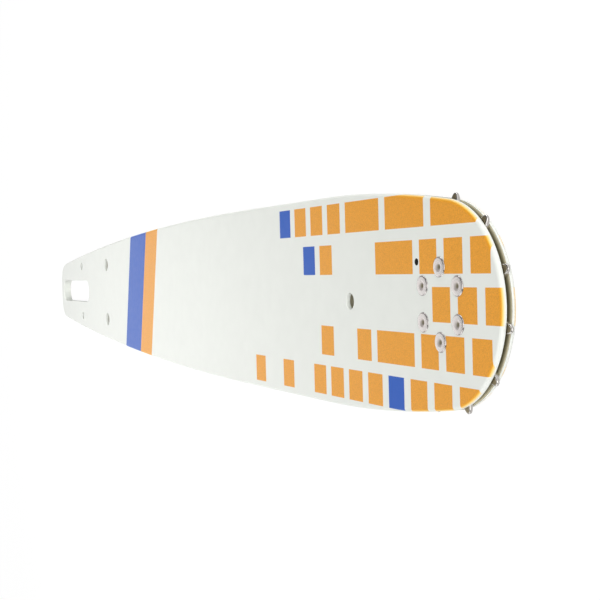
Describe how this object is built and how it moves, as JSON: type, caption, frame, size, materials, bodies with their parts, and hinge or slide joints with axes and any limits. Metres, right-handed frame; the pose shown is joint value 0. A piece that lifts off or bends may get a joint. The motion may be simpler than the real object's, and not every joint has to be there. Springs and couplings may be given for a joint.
{
  "type": "chainsaw guide bar",
  "caption": "Long flat laminated steel bar with a chain groove round its edge, a toothed sprocket riveted in its rounded nose and a slotted tail that clamps to a chainsaw.",
  "frame": {"origin": "centre of the bar stud slot, midway through the bar's thickness", "axes": "+X along the bar towards the nose, +Y across its width, +Z out of its upper printed face"},
  "size_m": [0.4667, 0.0644, 0.0052],
  "materials": {
    "painted_plate": "gloss white paint, printed with blue and orange blocks and stripes",
    "core_steel": "bare rolled steel, darkened",
    "bearing_steel": "ground steel",
    "sprocket_steel": "hardened steel, polished at the tooth tips",
    "rivet_steel": "pressed steel, polished at the rim of the head"
  },
  "bodies": {
    "bar": {"side_plate_front": "painted_plate", "side_plate_rear": "painted_plate", "core_plate": "core_steel", "inner_race": "bearing_steel", "nose_rivets": "rivet_steel"},
    "sprocket": {"nose_sprocket": "sprocket_steel"},
    "roller_ring": {"needle_roller_01": "bearing_steel", "needle_roller_02": "bearing_steel", "needle_roller_03": "bearing_steel", "needle_roller_04": "bearing_steel", "needle_roller_05": "bearing_steel", "needle_roller_06": "bearing_steel", "needle_roller_07": "bearing_steel", "needle_roller_08": "bearing_steel", "needle_roller_09": "bearing_steel", "needle_roller_10": "bearing_steel", "needle_roller_11": "bearing_steel", "needle_roller_12": "bearing_steel", "needle_roller_13": "bearing_steel", "needle_roller_14": "bearing_steel", "needle_roller_15": "bearing_steel", "needle_roller_16": "bearing_steel", "needle_roller_17": "bearing_steel", "needle_roller_18": "bearing_steel", "needle_roller_19": "bearing_steel", "needle_roller_20": "bearing_steel", "needle_roller_21": "bearing_steel", "needle_roller_22": "bearing_steel", "needle_roller_23": "bearing_steel", "needle_roller_24": "bearing_steel", "needle_roller_25": "bearing_steel", "needle_roller_26": "bearing_steel", "needle_roller_27": "bearing_steel", "needle_roller_28": "bearing_steel", "needle_roller_29": "bearing_steel", "needle_roller_30": "bearing_steel"}
  },
  "joints": [
    {"name": "sprocket_spin", "type": "hinge", "parent": "bar", "child": "sprocket", "pos_m": [0.4015, 0, 0], "axis": [0, 0, 1], "continuous": true},
    {"name": "roller_orbit", "type": "hinge", "parent": "bar", "child": "roller_ring", "pos_m": [0.4015, 0, 0], "axis": [0, 0, 1], "continuous": true}
  ],
  "couplings": [
    {"joint": "roller_orbit", "follows": "sprocket_spin", "ratio": 0.55}
  ]
}
